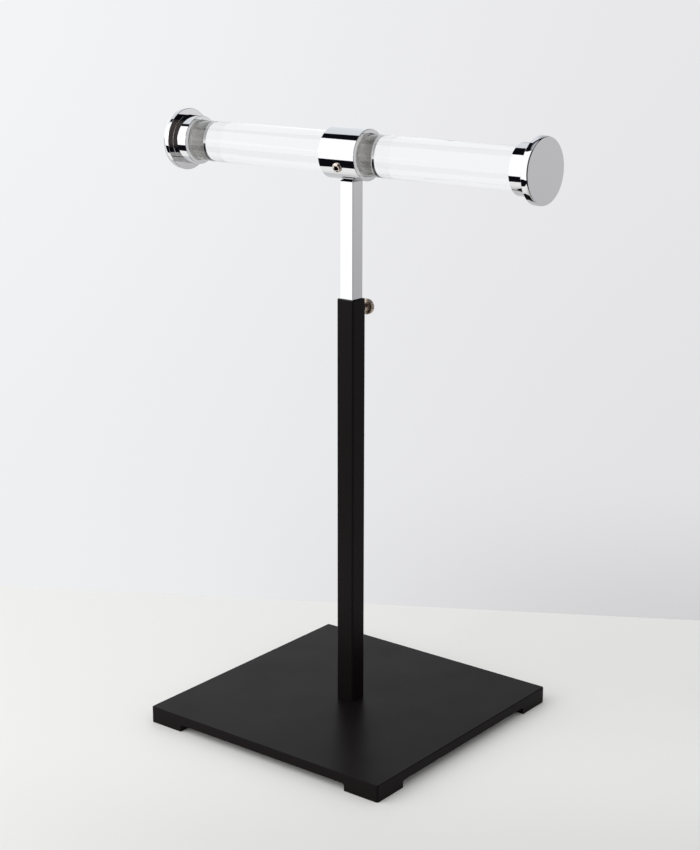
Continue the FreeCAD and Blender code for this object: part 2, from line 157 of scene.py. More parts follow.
def finishPiece(piece, material, body, stands=(), sharpAngle=30):
    mesh = piece.data
    mesh.polygons.foreach_set("use_smooth", [True] * len(mesh.polygons))
    mesh.set_sharp_from_angle(angle=math.radians(sharpAngle))
    weighted = piece.modifiers.new("even shading", "WEIGHTED_NORMAL")
    weighted.keep_sharp = True
    mesh.materials.clear()
    mesh.materials.append(material)
    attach(piece, body)
    if stands:
        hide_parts(*stands)


def lineWith(piece, material, chosen):
    # gives the chosen faces another finish
    piece.data.materials.append(material)
    mark = len(piece.data.materials) - 1
    for face, wanted in zip(piece.data.polygons, chosen):
        if wanted:
            face.material_index = mark


def boxOf(node):
    low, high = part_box(node)
    return Vector(low), Vector(high)


def middleHeight(node):
    low, high = boxOf(node)
    return (low.z + high.z) / 2


# Materials

def newMaterial(name):
    material = bpy.data.materials.new(name)
    material.use_nodes = True
    tree = material.node_tree
    shader = tree.nodes["Principled BSDF"]
    return material, tree, shader


def setShader(shader, **values):
    for name, value in values.items():
        shader.inputs[name.replace("_", " ")].default_value = value


def addNoise(tree, scale, detail, roughness=0.5, stretch=None):
    place = tree.nodes.new("ShaderNodeTexCoord").outputs["Object"]
    if stretch:
        mapping = tree.nodes.new("ShaderNodeMapping")
        mapping.inputs["Scale"].default_value = stretch
        tree.links.new(place, mapping.inputs["Vector"])
        place = mapping.outputs["Vector"]
    noise = tree.nodes.new("ShaderNodeTexNoise")
    noise.inputs["Scale"].default_value = scale
    noise.inputs["Detail"].default_value = detail
    noise.inputs["Roughness"].default_value = roughness
    tree.links.new(place, noise.inputs["Vector"])
    return noise


def spread(tree, source, low, high, target):
    noiseLow, noiseHigh = 0.3, 0.7  # nearly all of the noise lies between these
    ramp = tree.nodes.new("ShaderNodeMapRange")
    ramp.inputs["From Min"].default_value = noiseLow
    ramp.inputs["From Max"].default_value = noiseHigh
    ramp.inputs["To Min"].default_value = low
    ramp.inputs["To Max"].default_value = high
    tree.links.new(source.outputs["Fac"], ramp.inputs["Value"])
    tree.links.new(ramp.outputs["Result"], target)


def addBump(tree, shader, source, strength, depth):
    bump = tree.nodes.new("ShaderNodeBump")
    bump.inputs["Strength"].default_value = strength
    bump.inputs["Distance"].default_value = depth
    tree.links.new(source.outputs["Fac"], bump.inputs["Height"])
    tree.links.new(bump.outputs["Normal"], shader.inputs["Normal"])


powder = {
    "colour": (0.0062, 0.0046, 0.0049, 1),
    "level": 0.05,
    "roughness": (0.33, 0.39),
    "cloud": {"scale": 35, "detail": 4},  # slow change of gloss over the coat
    "grain": {"scale": 2600, "detail": 3, "roughness": 0.6},
    "grainStrength": 0.6,
    "grainDepth": 0.012 * mm,
}


def makePowderCoat(name, values):
    material, tree, shader = newMaterial(name)
    setShader(shader, Base_Color=values["colour"], Specular_IOR_Level=values["level"])
    grain = addNoise(tree, **values["grain"])
    addBump(tree, shader, grain, values["grainStrength"], values["grainDepth"])
    cloud = addNoise(tree, **values["cloud"])
    spread(tree, cloud, *values["roughness"], shader.inputs["Roughness"])
    return material


chrome = {
    "colour": (0.60, 0.60, 0.61, 1),
    "roughness": (0.012, 0.035),
    "haze": {"scale": 120, "detail": 5, "roughness": 0.6},  # what polishing leaves
}


def makeChrome(name, values):
    material, tree, shader = newMaterial(name)
    setShader(shader, Base_Color=values["colour"], Metallic=1.0)
    haze = addNoise(tree, **values["haze"])
    spread(tree, haze, *values["roughness"], shader.inputs["Roughness"])
    return material


acrylic = {
    "colour": (0.985, 0.992, 0.995, 1),
    "ior": 1.49,
    "roughness": 0.0,
    "gleam": (0.65, 0.65, 0.65, 1),
}


def makeAcrylic(name, values):
    material, tree, shader = newMaterial(name)
    setShader(shader, Base_Color=values["colour"], IOR=values["ior"], Roughness=values["roughness"])
    setShader(shader, Transmission_Weight=1.0, Specular_Tint=values["gleam"])
    return material


boreMetal = {
    "colour": (0.60, 0.59, 0.575, 1),
    "roughness": (0.25, 0.275),
    "marks": {"scale": 260, "detail": 2, "stretch": (1, 0.05, 0.05)},  # they run round the bore
}


def makeBoreMetal(name, values):
    material, tree, shader = newMaterial(name)
    setShader(shader, Base_Color=values["colour"], Metallic=1.0)
    marks = addNoise(tree, **values["marks"])
    spread(tree, marks, *values["roughness"], shader.inputs["Roughness"])
    return material


screwMetal = {
    "nickel": (0.56, 0.465, 0.385, 1),
    "nickelRoughness": (0.27, 0.33),
    "zinc": (0.64, 0.56, 0.50, 1),
    "steel": (0.36, 0.35, 0.34, 1),
    "roughness": (0.13, 0.24),
    # the socket colour is painted shade: near-black for the hex recess
    "socket": (0.035, 0.022, 0.016, 1),
    "socketRoughness": (0.25, 0.35),
    "wear": {"scale": 900, "detail": 4},
}


def makeScrewMetal(name, colour, roughness):
    material, tree, shader = newMaterial(name)
    setShader(shader, Base_Color=screwMetal[colour], Metallic=1.0)
    wear = addNoise(tree, **screwMetal["wear"])
    spread(tree, wear, *screwMetal[roughness], shader.inputs["Roughness"])
    return material


coatBlack = makePowderCoat("satin black coat", powder)
chromePlate = makeChrome("chrome plate", chrome)
clearAcrylic = makeAcrylic("clear acrylic", acrylic)
nickelPlate = makeScrewMetal("nickel plate", "nickel", "nickelRoughness")
boreSatin = makeBoreMetal("turned bore", boreMetal)
screwZinc = makeScrewMetal("bright screw plate", "zinc", "roughness")
screwSteel = makeScrewMetal("screw steel", "steel", "roughness")
# near-black metal for the hex socket: painted shade in the recess
socketPaintedShade = makeScrewMetal("socket painted shade", "socket", "socketRoughness")
print("materials made")


# Base plate: one slab whose corners reach down as feet

base = {
    "footSide": 25 * mm,
    "footHeight": 4.8 * mm,
    "cornerRounding": (1.5 * mm, 6),  # each rounding is a radius and its steps
    "topRounding": (0.6 * mm, 4),
    "notchRounding": (1.6 * mm, 5),
    "groundRounding": (0.25 * mm, 2),
    "recess": {"start": -1 * mm, "end": 7.8 * mm, "radius": 4.75 * mm, "count": 64},
    "hole": {"start": -2 * mm, "end": 20 * mm, "radius": 2.75 * mm, "count": 48},
}


def slabSheet(half, inner, under, top):
    # the slab with its feet, before any edge is rounded
    sheet = bmesh.new()
    made = {}

    def corner(point):
        key = tuple(round(value, 7) for value in point)
        if key not in made:
            made[key] = sheet.verts.new(key)
        return made[key]

    def face(*points):
        sheet.faces.new([corner(point) for point in points])

    def footFaces(right, back):
        def foot(a, b, z):
            return (right * (half if a else inner), back * (half if b else inner), z)
        face(foot(0, 0, 0), foot(1, 0, 0), foot(1, 1, 0), foot(0, 1, 0))
        face(foot(0, 0, 0), foot(0, 1, 0), foot(0, 1, under), foot(0, 0, under))
        face(foot(0, 0, 0), foot(1, 0, 0), foot(1, 0, under), foot(0, 0, under))

    face((-half, -half, top), (half, -half, top), (half, half, top), (-half, half, top))
    side = [(-half, 0), (-inner, 0), (-inner, under), (inner, under)]
    side += [(inner, 0), (half, 0), (half, top), (-half, top)]
    face(*[(across, -half, z) for across, z in side])
    face(*[(-across, half, z) for across, z in side])
    face(*[(half, across, z) for across, z in side])
    face(*[(-half, -across, z) for across, z in side])
    for right in (-1, 1):
        for back in (-1, 1):
            footFaces(right, back)
    cross = [(inner, -half), (inner, -inner), (half, -inner), (half, inner), (inner, inner), (inner, half)]
    cross += [(-x, -y) for x, y in cross]
    face(*[(x, y, under) for x, y in cross])
    bmesh.ops.recalc_face_normals(sheet, faces=sheet.faces)
    return sheet


def roundEdges(sheet, wanted, amount, steps):
    edges = [edge for edge in sheet.edges if wanted(*[vert.co for vert in edge.verts])]
    bmesh.ops.bevel(sheet, geom=edges, offset=amount, segments=steps, profile=0.5, affect="EDGES")


def buildBase():
    high = boxOf("base_plate")[1]
    half, top, under = high.x, high.z, base["footHeight"]
    inner = half - base["footSide"]
    near = 0.001 * mm
    sheet = slabSheet(half, inner, under, top)

    def onCorner(a, b):
        return min(abs(a.x), abs(a.y), abs(b.x), abs(b.y)) > half - near and abs(a.z - b.z) > near

    def onTop(a, b):
        return min(a.z, b.z) > top - near

    def onNotch(a, b):
        level = max(abs(a.z - under), abs(b.z - under)) < near
        beside = max(abs(abs(a.x) - inner), abs(abs(b.x) - inner)) < near and abs(a.y - b.y) > near
        before = max(abs(abs(a.y) - inner), abs(abs(b.y) - inner)) < near and abs(a.x - b.x) > near
        return level and (beside or before)

    def onGround(a, b):
        return max(a.z, b.z) < near

    roundEdges(sheet, onCorner, *base["cornerRounding"])
    roundEdges(sheet, onTop, *base["topRounding"])
    roundEdges(sheet, onNotch, *base["notchRounding"])
    roundEdges(sheet, onGround, *base["groundRounding"])
    plate = asPiece("basePlate", sheet)
    carve(plate, [put(roundCutter(name, **base[name]), upward) for name in ("recess", "hole")])
    finishPiece(plate, coatBlack, "root", ["base_plate"])


# Post: a square tube with soft corners and a drilled back wall

post = {
    "wall": 1.3 * mm,
    "cornerRadius": 1.3 * mm,
    "boreRadius": 0.3 * mm,
    "endRounding": 0.18 * mm,
    "endSteps": 4,
    "cornerSteps": 8,
    "drillRadius": 2.82 * mm,
    "drillCount": 48,
}


def buildPost():
    low, high = boxOf("outer_post")
    side = high.x - low.x
    bore = side - 2 * post["wall"]
    soft, steps = post["endRounding"], post["cornerSteps"]

    def outerAt(z, inset):
        return squareLoop(side - 2 * inset, post["cornerRadius"] - inset, z, steps)

    def boreAt(z, inset):
        return squareLoop(bore + 2 * inset, post["boreRadius"] + inset, z, steps)

    turns = [step / post["endSteps"] * quarter for step in range(post["endSteps"] + 1)]
    loops = [outerAt(low.z, 0)]
    loops += [outerAt(high.z - soft * (1 - math.sin(turn)), soft * (1 - math.cos(turn))) for turn in turns]
    loops += [boreAt(high.z - soft * (1 - math.cos(turn)), soft * (1 - math.sin(turn))) for turn in turns]
    loops.append(boreAt(low.z, 0))
    tube = skin("postTube", loops, ring=True)
    drill = roundCutter("drill", 0, side, post["drillRadius"], post["drillCount"])
    carve(tube, [put(drill, towardBack, (0, 0, middleHeight("clamp_bush")))])
    finishPiece(tube, coatBlack, "root", ["outer_post"], sharpAngle=35)


# Sliding bar

bar = {
    "cornerRadius": 0.45 * mm,
    "endCornerRadius": 0.15 * mm,
    "topChamfer": 1.0 * mm,
    "footChamfer": 0.6 * mm,
    "cornerSteps": 6,
}


def buildBar():
    low, high = boxOf("inner_bar")
    side = high.x - low.x
    radius, small, steps = bar["cornerRadius"], bar["endCornerRadius"], bar["cornerSteps"]
    foot, top = bar["footChamfer"], bar["topChamfer"]
    loops = [
        squareLoop(side - 2 * foot, small, low.z, steps),
        squareLoop(side, radius, low.z + foot, steps),
        squareLoop(side, radius, high.z - top, steps),
        squareLoop(side - 2 * top, small, high.z, steps),
    ]
    piece = skin("slidingBar", loops)
    finishPiece(piece, chromePlate, "head", ["inner_bar"])


# Head: collar, rod, end caps

head = {
    "roundCount": 256,
    "holeCount": 64,
    "rodRadius": 12.7 * mm,
    "rodRounding": 0.15 * mm,
    "rodEndGap": 0.2 * mm,
    "bore": 12.80 * mm,
    "boreMargin": 0.02 * mm,
    "boreChamfer": 0.3 * mm,
    "collarChamfer": 0.2 * mm,
    "softEdge": 0.12 * mm,
    "cutStart": 8 * mm,
    "seatSide": 10.1 * mm,
    "seatDepth": 0.2 * mm,
    "seatCorner": 0.2 * mm,
    "seatSteps": 3,
    "seatOver": 1 * mm,
    "screwTilt": 27,
    "screwHole": 3.05 * mm,
    "screwHoleDip": 0.35 * mm,
    "screwHoleFlare": 1.0 * mm,
    "setScrewOut": 1.2 * mm,
    "shankRadius": 2.25 * mm,
    "shankEnd": 20 * mm,
    "coneRadius": 3.75 * mm,
    "coneStart": 12.95 * mm,
    "coneEnd": 14.72 * mm,
    "coneEndRadius": 2.0 * mm,
}


def isBore(face):
    return Vector(face.center.yz).length < head["bore"] + head["boreMargin"]


def screwTurn():
    # turns the X axis to the set screw's: out to the front and down
    tilt = math.radians(head["screwTilt"])
    outward = Vector((0, -math.cos(tilt), -math.sin(tilt)))
    return outward.to_track_quat("X", "Z").to_matrix().to_4x4()


def collarCutters(radius):
    # the set screw's slanted hole, the countersunk hole in two parts and the bar's seat
    count, start, hole = head["holeCount"], head["cutStart"], head["screwHole"]
    seatSide, seatCorner, seatSteps = head["seatSide"], head["seatCorner"], head["seatSteps"]
    tapping = skin("tapping", [
        circleLoop(start, hole, count),
        circleLoop(radius - head["screwHoleDip"], hole, count),
        circleLoop(radius + head["setScrewOut"], hole + head["screwHoleFlare"], count),
    ])
    shank = roundCutter("shank", start, head["shankEnd"], head["shankRadius"], count)
    cone = skin("cone", [
        circleLoop(start, head["coneRadius"], count),
        circleLoop(head["coneStart"], head["coneRadius"], count),
        circleLoop(head["coneEnd"], head["coneEndRadius"], count),
    ])
    seat = skin("seat", [
        squareLoop(seatSide, seatCorner, -radius - head["seatOver"], seatSteps),
        squareLoop(seatSide, seatCorner, -radius + head["seatDepth"], seatSteps),
    ])
    return [put(tapping, screwTurn()), put(shank, downward), put(cone, downward), seat]


def buildCollar():
    high = boxOf("collar")[1]
    radius, end = high.y, high.x
    bore, cham, mouth, soft = head["bore"], head["collarChamfer"], head["boreChamfer"], head["softEdge"]
    corners = [
        (-end, bore + mouth, soft), (-end, radius - cham, soft), (-end + cham, radius, soft),
        (end - cham, radius, soft), (end, radius - cham, soft), (end, bore + mouth, soft),
        (end - mouth, bore, soft), (-end + mouth, bore, soft),
    ]
    collar = turned("collarRing", corners, head["roundCount"], ring=True)
    carve(collar, collarCutters(radius))
    inBore = [isBore(face) for face in collar.data.polygons]
    put(collar, at=(0, 0, middleHeight("acrylic_rod")))
    finishPiece(collar, chromePlate, "head", ["collar"])
    lineWith(collar, boreSatin, inBore)


def buildRod():
    end = boxOf("acrylic_rod")[1].x - head["rodEndGap"]
    radius, soft = head["rodRadius"], head["rodRounding"]
    corners = [(-end, radius - soft, 0), (-end + soft, radius, 0)]
    corners += [(end - soft, radius, 0), (end, radius - soft, 0)]
    rod = turned("acrylicRod", corners, head["roundCount"])
    put(rod, at=(0, 0, middleHeight("acrylic_rod")))
    finishPiece(rod, clearAcrylic, "head", ["acrylic_rod"])


caps = {
    "faceThickness": 2.5 * mm,
    "flangeThickness": 4.5 * mm,
    "sleeveRadius": 15.2 * mm,
    "chamfer": 0.18 * mm,
    "crownLength": 2.5 * mm,
    "crownDrop": 0.7 * mm,
    "crownSteps": 24,
    "neckFillet": 0.25 * mm,
    "mouthChamfer": 0.1 * mm,
    "floorDisc": 0.5 * mm,
    "floorMargin": 0.01 * mm,
}


def crownCorners(radius):
    # a quarter ellipse from the face to the rim
    corners = []
    for step in range(caps["crownSteps"] + 1):
        turn = step / caps["crownSteps"] * quarter
        along = caps["crownLength"] * (1 - math.cos(turn))
        corners.append((along, radius - caps["crownDrop"] * (1 - math.sin(turn)), 0))
    return corners


def buildCap(side, node, name):
    low, high = boxOf(node)
    depth, radius = high.x - low.x, (high.z - low.z) / 2
    cham, soft, bore, mouth = caps["chamfer"], head["softEdge"], head["bore"], caps["mouthChamfer"]
    face, shoulder, sleeve = caps["faceThickness"], caps["flangeThickness"], caps["sleeveRadius"]
    corners = crownCorners(radius) + [
        (shoulder - cham, radius, soft), (shoulder, radius - cham, soft),
        (shoulder, sleeve, caps["neckFillet"]), (depth - cham, sleeve, soft), (depth, sleeve - cham, soft),
        (depth, bore + mouth, 0), (depth - mouth, bore, 0), (face, bore, 0), (face, caps["floorDisc"], 0),
    ]
    cap = turned(name, corners, head["roundCount"])
    floorLevel = face - caps["floorMargin"]
    inBore = [isBore(part) and part.center.x > floorLevel for part in cap.data.polygons]
    turn = Matrix.Rotation(math.pi, 4, "Z") if side > 0 else Matrix.Identity(4)
    put(cap, turn, (high.x if side > 0 else low.x, 0, middleHeight("acrylic_rod")))
    finishPiece(cap, chromePlate, "head", [node])
    lineWith(cap, boreSatin, inBore)


# Set screw in the collar: chamfered, with a hexagon socket

setScrew = {
    "radius": 3.0 * mm,
    "chamfer": 0.5 * mm,
    "pitch": 0.5 * mm,
    "grooveDepth": 0.15 * mm,
    "plainEnd": 0.2 * mm,
    "endDrop": 0.02 * mm,
    "acrossFlats": 3.0 * mm,
    "socketLand": 0.45 * mm,
    "socketLead": 0.2 * mm,
    "socketDepth": 2.0 * mm,
    "socketPoint": 0.3 * mm,
    "pointRadius": 0.2 * mm,
    "darkFrom": 0.25 * mm,  # the socket's painted shade: how far in from the end it starts,
    "darkBelow": 0.5 * mm,  # how far under the floor it ends, and its share of the width
    "darkShare": 0.6,
    "count": 96,
}


def hexLoop(along, acrossFlats, count):
    loop = []
    for step in range(count):
        turn = 2 * math.pi * step / count
        within = (turn % (math.pi / 3)) - math.pi / 6
        reach = acrossFlats / 2 / math.cos(within)
        loop.append(Vector((along, reach * math.cos(turn), reach * math.sin(turn))))
    return loop


def buildSetScrew():
    start, end = head["rodRadius"], boxOf("collar")[1].y + head["setScrewOut"]
    radius, cham, count = setScrew["radius"], setScrew["chamfer"], setScrew["count"]
    pitch, key, depth = setScrew["pitch"], setScrew["acrossFlats"], setScrew["socketDepth"]
    lead = setScrew["socketLead"]
    loops = [circleLoop(start, radius - cham, count), circleLoop(start + cham, radius, count)]
    along = start + cham + pitch
    while along < end - cham - setScrew["plainEnd"]:  # thread shown as close grooves
        loops.append(circleLoop(along - pitch / 2, radius - setScrew["grooveDepth"], count))
        loops.append(circleLoop(along, radius, count))
        along += pitch
    loops += [
        circleLoop(end - cham, radius - setScrew["endDrop"], count),
        circleLoop(end, radius - cham, count),
        circleLoop(end, key / 2 + setScrew["socketLand"], count),
        hexLoop(end - lead, key, count),
        hexLoop(end - depth, key, count),
        circleLoop(end - depth - setScrew["socketPoint"], setScrew["pointRadius"], count),
    ]
    screw = skin("collarSetScrew", loops)
    deepest, shallowest = end - depth - setScrew["darkBelow"], end - setScrew["darkFrom"]
    widest = key * setScrew["darkShare"]

    def isSocket(face):
        return deepest < face.center.x < shallowest and Vector(face.center.yz).length < widest

    inSocket = [isSocket(face) for face in screw.data.polygons]
    atTip = [face.center.x < start + cham for face in screw.data.polygons]
    put(screw, screwTurn(), (0, 0, middleHeight("acrylic_rod")))
    finishPiece(screw, screwZinc, "head", ["rod_set_screw"])
    # the hex socket's faces take the painted shade
    lineWith(screw, socketPaintedShade, inSocket)
    lineWith(screw, boreSatin, atTip)


# Thumb screw and its bush

thumb = {
    "threadRadius": 2.0 * mm,
    "tipChamfer": 0.4 * mm,
    "threadStart": 0.9 * mm,
    "plainEnd": 0.5 * mm,
    "pitch": 0.7 * mm,
    "grooveWidth": 0.5 * mm,
    "grooveDepth": 0.2 * mm,
    "shoulderRadius": 3.0 * mm,
    "shoulderStart": 10.33 * mm,
    "shoulderEnd": 14.33 * mm,
    "shoulderSoft": 0.15 * mm,
    "headRadius": 4.72 * mm,
    "headSoft": 0.35 * mm,
    "neckSoft": 0.3 * mm,
    "dish": 0.25 * mm,
    "dishSoft": 0.2 * mm,
    "dishShare": (0.72, 0.66),
    "dishDisc": 0.3 * mm,
    "count": 128,
    "ridgeCount": 36,
    "ridgeWidth": 0.62 * mm,
    "ridgeHeight": 0.28 * mm,
}


def buildThumbScrew():
    low, high = boxOf("thumb_screw")
    height = middleHeight("thumb_screw")
    thread, shoulder, radius = thumb["threadRadius"], thumb["shoulderRadius"], thumb["headRadius"]
    neck, behind, cham = thumb["shoulderStart"], thumb["shoulderEnd"], thumb["tipChamfer"]
    groove, soft, dishSoft = thumb["grooveWidth"], thumb["headSoft"], thumb["dishSoft"]
    outer, inner = thumb["dishShare"]
    corners = [(low.y, thread - cham, 0), (low.y + cham, thread, 0)]
    along = low.y + thumb["threadStart"]
    while along < neck - thumb["plainEnd"]:
        corners += [(along, thread, 0), (along + groove / 2, thread - thumb["grooveDepth"], 0)]
        corners += [(along + groove, thread, 0)]
        along += thumb["pitch"]
    corners += [
        (neck, thread, 0), (neck, shoulder, thumb["shoulderSoft"]), (behind, shoulder, thumb["neckSoft"]),
        (behind, radius, soft), (high.y, radius, soft),
        (high.y, radius * outer, dishSoft), (high.y - thumb["dish"], radius * inner, dishSoft),
        (high.y - thumb["dish"], thumb["dishDisc"], 0),
    ]
    screw = turned("thumbScrew", corners, thumb["count"])
    put(screw, towardBack, (0, 0, height))
    ridges = knurlRidges(height, behind, high.y)
    finishPiece(ridges, nickelPlate, "thumb", sharpAngle=40)
    finishPiece(screw, nickelPlate, "thumb", ["thumb_screw"], sharpAngle=35)


def addInputs(tree, wanted):
    # the tree's named inputs, each as (kind, value); gives their sockets
    tree.interface.new_socket("Geometry", in_out="OUTPUT", socket_type="NodeSocketGeometry")
    sockets = {}
    for label, (kind, value) in wanted.items():
        sockets[label] = tree.interface.new_socket(label, in_out="INPUT", socket_type=kind)
    return sockets


def addRidge(tree, given):
    # a four-sided bar about the origin, its length along Z
    halfDiagonal = 0.7071
    nodes, link = tree.nodes, tree.links.new
    ridge = nodes.new("GeometryNodeMeshCone")
    ridge.fill_type = "NGON"
    ridge.inputs["Vertices"].default_value = 4
    ridge.inputs["Radius Top"].default_value = halfDiagonal
    ridge.inputs["Radius Bottom"].default_value = halfDiagonal
    ridge.inputs["Depth"].default_value = 1.0
    middle = nodes.new("GeometryNodeTransform")
    middle.inputs["Translation"].default_value = (0, 0, -0.5)
    link(ridge.outputs["Mesh"], middle.inputs["Geometry"])
    sizes = nodes.new("ShaderNodeCombineXYZ")
    link(given.outputs["Ridge height"], sizes.inputs["X"])
    link(given.outputs["Ridge width"], sizes.inputs["Y"])
    link(given.outputs["Ridge length"], sizes.inputs["Z"])
    shaped = nodes.new("GeometryNodeTransform")
    link(middle.outputs["Geometry"], shaped.inputs["Geometry"])
    link(sizes.outputs["Vector"], shaped.inputs["Scale"])
    return shaped


def knurlRidges(height, start, end):
    # Geometry Nodes: one ridge, instanced round the head's rim
    tree = bpy.data.node_groups.new("knurled rim", "GeometryNodeTree")
    wanted = {
        "Ridge count": ("NodeSocketInt", thumb["ridgeCount"]),
        "Rim radius": ("NodeSocketFloat", thumb["headRadius"]),
        "Ridge length": ("NodeSocketFloat", end - start - 2 * thumb["headSoft"]),
        "Ridge width": ("NodeSocketFloat", thumb["ridgeWidth"]),
        "Ridge height": ("NodeSocketFloat", thumb["ridgeHeight"]),
    }
    sockets = addInputs(tree, wanted)
    nodes, link = tree.nodes, tree.links.new
    given = nodes.new("NodeGroupInput")
    result = nodes.new("NodeGroupOutput")
    rim = nodes.new("GeometryNodeMeshCircle")
    rim.fill_type = "NONE"
    link(given.outputs["Ridge count"], rim.inputs["Vertices"])
    link(given.outputs["Rim radius"], rim.inputs["Radius"])
    place = nodes.new("GeometryNodeInputPosition")
    facing = nodes.new("FunctionNodeAlignRotationToVector")
    facing.axis = "X"
    link(place.outputs["Position"], facing.inputs["Vector"])
    copies = nodes.new("GeometryNodeInstanceOnPoints")
    link(rim.outputs["Mesh"], copies.inputs["Points"])
    link(addRidge(tree, given).outputs["Geometry"], copies.inputs["Instance"])
    link(facing.outputs["Rotation"], copies.inputs["Rotation"])
    real = nodes.new("GeometryNodeRealizeInstances")
    link(copies.outputs["Instances"], real.inputs["Geometry"])
    coat = nodes.new("GeometryNodeSetMaterial")
    coat.inputs["Material"].default_value = nickelPlate
    link(real.outputs["Geometry"], coat.inputs["Geometry"])
    link(coat.outputs["Geometry"], result.inputs["Geometry"])
    piece = asPiece("thumbKnurl", bmesh.new())
    modifier = piece.modifiers.new("knurled rim", "NODES")
    modifier.node_group = tree
    for label, (kind, value) in wanted.items():
        modifier[sockets[label].identifier] = value
    keepResult(piece)
    return put(piece, Matrix.Rotation(-quarter, 4, "X"), (0, (start + end) / 2, height))


bushing = {
    "bore": 2.05 * mm,
    "shankRadius": 2.8 * mm,
    "chamfer": 0.3 * mm,
    "soft": 0.1 * mm,
    "count": 96,
}


def buildBush():
    low, high = boxOf("clamp_bush")
    radius, wallEnd = (high.z - low.z) / 2, low.y + post["wall"]
    bore, shank, cham, soft = (bushing[name] for name in ("bore", "shankRadius", "chamfer", "soft"))
    corners = [
        (low.y, bore, 0), (low.y, shank, 0), (wallEnd, shank, 0), (wallEnd, radius, 0),
        (high.y - cham, radius, soft), (high.y, radius - cham, soft), (high.y, bore, 0),
    ]
    bush = turned("clampBush", corners, bushing["count"], ring=True)
    put(bush, towardBack, (0, 0, middleHeight("clamp_bush")))
    finishPiece(bush, coatBlack, "root", ["clamp_bush"])


buildBase()
buildPost()
buildBar()
print("base, post and bar built")
buildCollar()
buildRod()
buildCap(-1, "end_cap_left", "endCapLeft")
buildCap(1, "end_cap_right", "endCapRight")
buildSetScrew()
print("head built")
buildThumbScrew()
buildBush()
for hidden in ("post_plug", "base_screw", "collar_mount_screw"):
    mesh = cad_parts[hidden].data
    mesh.materials.clear()
    mesh.materials.append(screwSteel)
print("clamp built")


# Stage: a pale table that ends in a pale backdrop, one large soft lamp and what the chrome mirrors

def dotNode(tree, source, vector):
    dot = tree.nodes.new("ShaderNodeVectorMath")
    dot.operation = "DOT_PRODUCT"
    dot.inputs[1].default_value = vector
    tree.links.new(source, dot.inputs[0])
    return dot.outputs["Value"]


def mathNode(tree, operation, first, second):
    node = tree.nodes.new("ShaderNodeMath")
    node.operation = operation
    for socket, value in zip(node.inputs, (first, second)):
        if isinstance(value, (int, float)):
            socket.default_value = value
        else:
            tree.links.new(value, socket)
    return node.outputs["Value"]


def product(tree, first, second):
    return mathNode(tree, "MULTIPLY", first, second)


def restOf(tree, value):
    return mathNode(tree, "SUBTRACT", 1.0, value)


def rangeNode(tree, value, limits, first, last):
    # goes smoothly from first to last while the value passes the two limits
    node = tree.nodes.new("ShaderNodeMapRange")
    node.interpolation_type = "SMOOTHSTEP"
    for name, number in zip(("From Min", "From Max", "To Min", "To Max"), (*limits, first, last)):
        node.inputs[name].default_value = number
    tree.links.new(value, node.inputs["Value"])
    return node.outputs["Result"]


def mixShaders(tree, factor, first, second):
    mix = tree.nodes.new("ShaderNodeMixShader")
    tree.links.new(factor, mix.inputs[0])
    tree.links.new(first, mix.inputs[1])
    tree.links.new(second, mix.inputs[2])
    return mix.outputs[0]


def emitter(tree, colour):
    glow = tree.nodes.new("ShaderNodeEmission")
    glow.inputs["Color"].default_value = colour
    return glow.outputs[0]


backdrop = {
    # painted shade: the wall's glow goes from the left tone to the darker right one
    "left": (0.875, 0.885, 0.900, 1),
    "right": (0.775, 0.770, 0.785, 1),
    "throughRod": (0.895, 0.895, 0.905, 1),
    "viewerAlong": 0.142,
    "viewerAway": 1.252,
    "toneAside": (-0.42, 0.12),
    "gloomAside": (0.1, 0.7),
    # gloom and foot are painted shade: dimmer far to the right and at the wall's foot
    "gloomHeight": (-0.05, 0.5),
    "gloomTone": 0.70,
    "footAside": (-0.25, 0.06),
    "footHeight": (-0.08, 0.26),
    "footShade": 0.19,
    # lift and far are painted light: brighter higher up and far to the right
    "liftHeight": (0.1, 1.0),
    "liftTone": (0.985, 1.035),
    "farAside": (1.15, 1.6),
    "farTone": 1.40,
}


def addBackdrop(tree, across, beyond):
    # a glowing wall with painted light and shade: dimmer to the right and towards its foot, brighter
    # higher up and far right
    depth = mathNode(tree, "ADD", beyond, backdrop["viewerAway"])
    aside = mathNode(tree, "DIVIDE", mathNode(tree, "SUBTRACT", across, backdrop["viewerAlong"]), depth)
    height = mathNode(tree, "DIVIDE", beyond, depth)
    mix = tree.nodes.new("ShaderNodeMix")
    mix.data_type = "RGBA"
    tree.links.new(rangeNode(tree, aside, backdrop["toneAside"], 0, 1), mix.inputs["Factor"])
    mix.inputs[6].default_value = backdrop["left"]
    mix.inputs[7].default_value = backdrop["right"]
    pastRight = rangeNode(tree, aside, backdrop["gloomAside"], 0, 1)
    paintedGloom = restOf(tree, rangeNode(tree, height, backdrop["gloomHeight"], backdrop["gloomTone"], 1))
    farRight = restOf(tree, product(tree, pastRight, paintedGloom))
    footAside = rangeNode(tree, aside, backdrop["footAside"], 0, backdrop["footShade"])
    paintedShade = product(tree, footAside, rangeNode(tree, height, backdrop["footHeight"], 1, 0))
    paintedLift = product(tree, rangeNode(tree, height, backdrop["liftHeight"], *backdrop["liftTone"]),
                   rangeNode(tree, aside, backdrop["farAside"], 1, backdrop["farTone"]))
    glow = tree.nodes.new("ShaderNodeEmission")
    tree.links.new(mix.outputs[2], glow.inputs["Color"])
    strength = product(tree, product(tree, farRight, paintedLift), restOf(tree, paintedShade))
    tree.links.new(strength, glow.inputs["Strength"])
    return glow.outputs[0]


